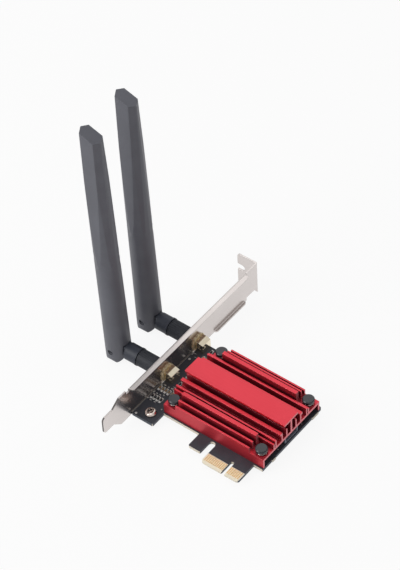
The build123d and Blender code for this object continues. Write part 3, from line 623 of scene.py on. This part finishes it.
def solder_under_board(form):
    """Solder cones round the legs, the contact tails and the header pins, under the board."""
    for spot in leg_spots + tail_spots:
        turned(form, ((1.25, board_under), (1.0, board_under - 0.18), (0.82, board_under - 0.55),
                      (0.74, board_under - 0.95), (0.3, board_under - 1.0)), spot)
    for spot in header_spots:
        turned(form, ((0.8, board_under), (0.6, board_under - 0.14), (0.46, board_under - 0.42),
                      (0.38, board_under - 0.75), (0.12, board_under - 0.8)), spot)


wide_hole_spots = [(-55.1, 5.2), (-55.4, 46.6)]
small_hole_spots = [(-46.6, 13.8), (12.2, 26.4), (12.2, 45.2), (-47.4, 44.0), (-47.0, 28.4), (-52.6, 40.6),
                    (-50.8, 42.0)]


def via_rings(form):
    """Plated rims of the through holes, on both faces."""
    rims = [(spot, 0.2, 0.6) for spot in wide_hole_spots] + [(spot, 0.12, 0.28) for spot in small_hole_spots]
    for spot, inner, outer in rims:
        washer(form, spot, inner, outer, board_top, board_top + copper_rise)
        washer(form, spot, inner, outer, board_under - copper_rise, board_under)


def contact_places():
    """The middle of each edge contact along X."""
    return ([-key_contact - i * contact_pitch for i in range(contacts_before_key)]
            + [key_contact + i * contact_pitch for i in range(contacts_after_key)])


def copper_tracks(form):
    """Tracks under the mask: from each contact up to the module, and between the jacks and the leads."""
    for index, x in enumerate(contact_places()):
        bend = 8.4 + 0.35 * (index % 4)
        shift = 0.2 if index % 2 else -0.2
        for low, high in ((board_top, board_top + track_rise), (board_under - track_rise, board_under)):
            ribbon(form, [(x, 5.5), (x, bend), (x + shift, bend + 0.8), (x + shift, 12.6)], 0.22, low, high)
    for y in (near_y, far_y):
        ribbon(form, [(-51.6, y), (-49.6, y), (-46.2, y - 1.6)], 0.5, board_top, board_top + track_rise)
    for x, y in capacitor_spots + resistor_spots:
        ribbon(form, [(x, y - 1.2), (x, y - 1.9), (x + 0.6, y - 2.6)], 0.2, board_top, board_top + track_rise)


def print_lines(form):
    """Printed outlines of the places for parts, and plain printed marks beside them."""
    rise = board_top + print_rise
    low = board_top
    frames = [[(-56.2, 49.3), (-56.2, 51.0), (-54.6, 51.0)], [(-54.3, 49.0), (-51.6, 49.0), (-51.6, 50.2)],
              [(-51.0, 28.2), (-48.0, 28.2), (-48.0, 29.6)], [(-51.0, 35.4), (-48.0, 35.4), (-48.0, 34.0)]]
    for x, y in capacitor_spots + resistor_spots:
        for side in (-1, 1):
            frames.append([(x + side * 0.66, y - 1.1), (x + side * 0.66, y + 1.1)])
        frames.append([(x - 0.66, y + 1.62), (x + 0.66, y + 1.62)])
    for points in frames:
        ribbon(form, points, 0.2, low, rise)
    marks = ((-56.4, 20.6, 0.8, 1.3), (-54.6, 20.5, 1.0, 0.6), (-52.8, 20.6, 1.1, 0.6), (-56.3, 26.3, 0.8, 1.2),
             (-54.7, 26.8, 1.4, 0.8), (-52.4, 26.6, 1.0, 0.7), (-50.4, 26.9, 1.4, 0.8), (-51.2, 21.4, 0.9, 0.7),
             (-49.2, 26.4, 0.7, 1.1), (-56.5, 15.9, 0.7, 0.9), (-54.6, 15.6, 1.2, 0.6), (-52.2, 15.7, 1.0, 0.6))
    for x, y, width, depth in marks:
        brick(form, (x - width / 2, y - depth / 2, low), (x + width / 2, y + depth / 2, rise), 0.01)


capacitors = new_piece("capacitor_chips", "card", "capacitor_body", chips_at(capacitor_spots),
                       finishes["capacitor_body"], tinned)
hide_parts("chip_capacitors")
resistors = new_piece("resistor_chips", "card", "resistor_body", chips_at(resistor_spots),
                      finishes["resistor_body"], tinned)
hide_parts("chip_resistors")
new_piece("chip_solder", "card", "tin_plate", solder_at_chips, tinned)
new_piece("under_solder", "card", "tin_plate", solder_under_board, tinned)
new_piece("plated_rims", "card", "gold_plate", via_rings, tinned)
new_piece("copper_tracks", "card", "solder_mask", copper_tracks, finishes["solder_mask"])
new_piece("board_print", "card", "solder_mask", print_lines, white_print)


# ---------------------------------------------------------------- threads on the antenna jacks

jack_height = 3.1
thread_root = 3.12
thread_crest = 3.19
thread_pitch = 0.7056
thread_start = -60.1
thread_end = -66.4
thread_ridge = ((thread_root, 0.27), (thread_crest, 0.06), (thread_crest, -0.06), (thread_root, -0.27))


def neck_thread(y):
    """A screw thread round the jack's neck: one ridge wound along it."""
    def build(form):
        steps = 24
        turns = (thread_start - thread_end) / thread_pitch
        rows = []
        for i in range(int(turns * steps) + 1):
            angle = 2 * math.pi * i / steps
            x = thread_start - thread_pitch * i / steps
            rim = []
            for radius, offset in thread_ridge:
                rim.append(form.verts.new(Vector((x + offset, y + radius * math.cos(angle),
                                                  jack_height + radius * math.sin(angle))) * MM))
            rows.append(rim)
        skin(form, rows)
    return build


for side, y in (("near", near_y), ("far", far_y)):
    new_piece("neck_thread_" + side, "card", "jack_gold", neck_thread(y), finishes["jack_gold"], turn=60.0)


# ---------------------------------------------------------------- stage, light and camera

def make_floor():
    """A wide pale floor just under the card. It looks white, and keeps a soft shadow."""
    material, tree, shader = new_finish("pale_floor", Roughness=0.9)
    shader.inputs["Base Color"].default_value = (0.86, 0.86, 0.86, 1.0)
    ray = add(tree, "LightPath").outputs
    mirrored = calc(tree, "MAXIMUM", ray["Is Glossy Ray"], ray["Is Transmission Ray"])
    white = add(tree, "Emission", {"Color": (1.0, 1.0, 1.0, 1.0), "Strength": 1.0})
    share = calc(tree, "MAXIMUM", calc(tree, "MULTIPLY", ray["Is Camera Ray"], 0.9),
                 calc(tree, "MULTIPLY", mirrored, 0.8))
    mixed = add(tree, "MixShader", {0: share, 1: shader.outputs[0], 2: white.outputs[0]})
    tree.links.new(mixed.outputs[0], tree.nodes["Material Output"].inputs["Surface"])
    mesh = bpy.data.meshes.new("floor")
    half = 4.0
    height = cad_box[0].z - 0.0001
    mesh.from_pydata([(-half, -half, height), (half, -half, height), (half, half, height), (-half, half, height)],
                     [], [(0, 1, 2, 3)])
    floor = bpy.data.objects.new("floor", mesh)
    bpy.context.scene.collection.objects.link(floor)
    coat(floor, material)


def make_world():
    """White to the camera, a little less in reflections with one brown flag, and grey for lighting."""
    world = bpy.data.worlds.new("studio")
    bpy.context.scene.world = world
    world.use_nodes = True
    tree = world.node_tree
    ray = add(tree, "LightPath").outputs
    mirrored = calc(tree, "MAXIMUM", ray["Is Glossy Ray"], ray["Is Transmission Ray"])
    strength = calc(tree, "MAXIMUM", ray["Is Camera Ray"], spread(tree, mirrored, 0.0, 1.0, 0.42, 0.66))
    back = tree.nodes["Background"]
    direction = add(tree, "TexCoord").outputs["Generated"]
    flag_place = (0.443, 0.525, 0.726)
    toward = add(tree, "VectorMath", {0: direction, 1: flag_place}, operation="DOT_PRODUCT").outputs["Value"]
    flag = calc(tree, "MULTIPLY", mirrored, spread(tree, toward, 0.980, 0.992))
    tree.links.new(blend(tree, flag, (1.0, 1.0, 1.0, 1.0), srgb(116, 82, 52)), back.inputs["Color"])
    tree.links.new(strength, back.inputs["Strength"])


def make_lamp(name, spot, aim, size, watts):
    """A square soft box that looks at a point."""
    data = bpy.data.lights.new(name, "AREA")
    data.shape = "SQUARE"
    data.size = size
    data.energy = watts
    lamp = bpy.data.objects.new(name, data)
    lamp.location = spot
    lamp.rotation_euler = (Vector(aim) - Vector(spot)).to_track_quat("-Z", "Y").to_euler()
    bpy.context.scene.collection.objects.link(lamp)


def make_camera():
    """The photograph's view: found by fitting the card's known edges to the picture."""
    right = Vector((0.79041, 0.61127, -0.04015))
    back = Vector((0.44318, -0.52535, 0.72636)).normalized()
    up = back.cross(right).normalized()
    right = up.cross(back)
    data = bpy.data.cameras.new("camera")
    data.sensor_width = 36.0
    data.lens = 149.46
    data.clip_start = 0.05
    data.clip_end = 20.0
    camera = bpy.data.objects.new("camera", data)
    turn = Matrix((right, up, back)).transposed().to_4x4()
    camera.matrix_world = Matrix.Translation((0.4370, -0.5261, 0.8493)) @ turn
    bpy.context.scene.collection.objects.link(camera)
    bpy.context.scene.camera = camera


bpy.context.scene.view_settings.view_transform = "Standard"
make_floor()
make_world()
make_lamp("soft_back", (-0.59, 0.72, 0.96), (-0.02, 0.04, 0.01), 0.75, 1.55)
make_lamp("soft_top", (-0.04, 0.0, 1.2), (-0.03, 0.03, 0.0), 0.5, 1.5)
make_lamp("soft_front", (-0.6, -0.85, 0.72), (-0.02, 0.04, 0.04), 0.8, 7.0)
make_camera()
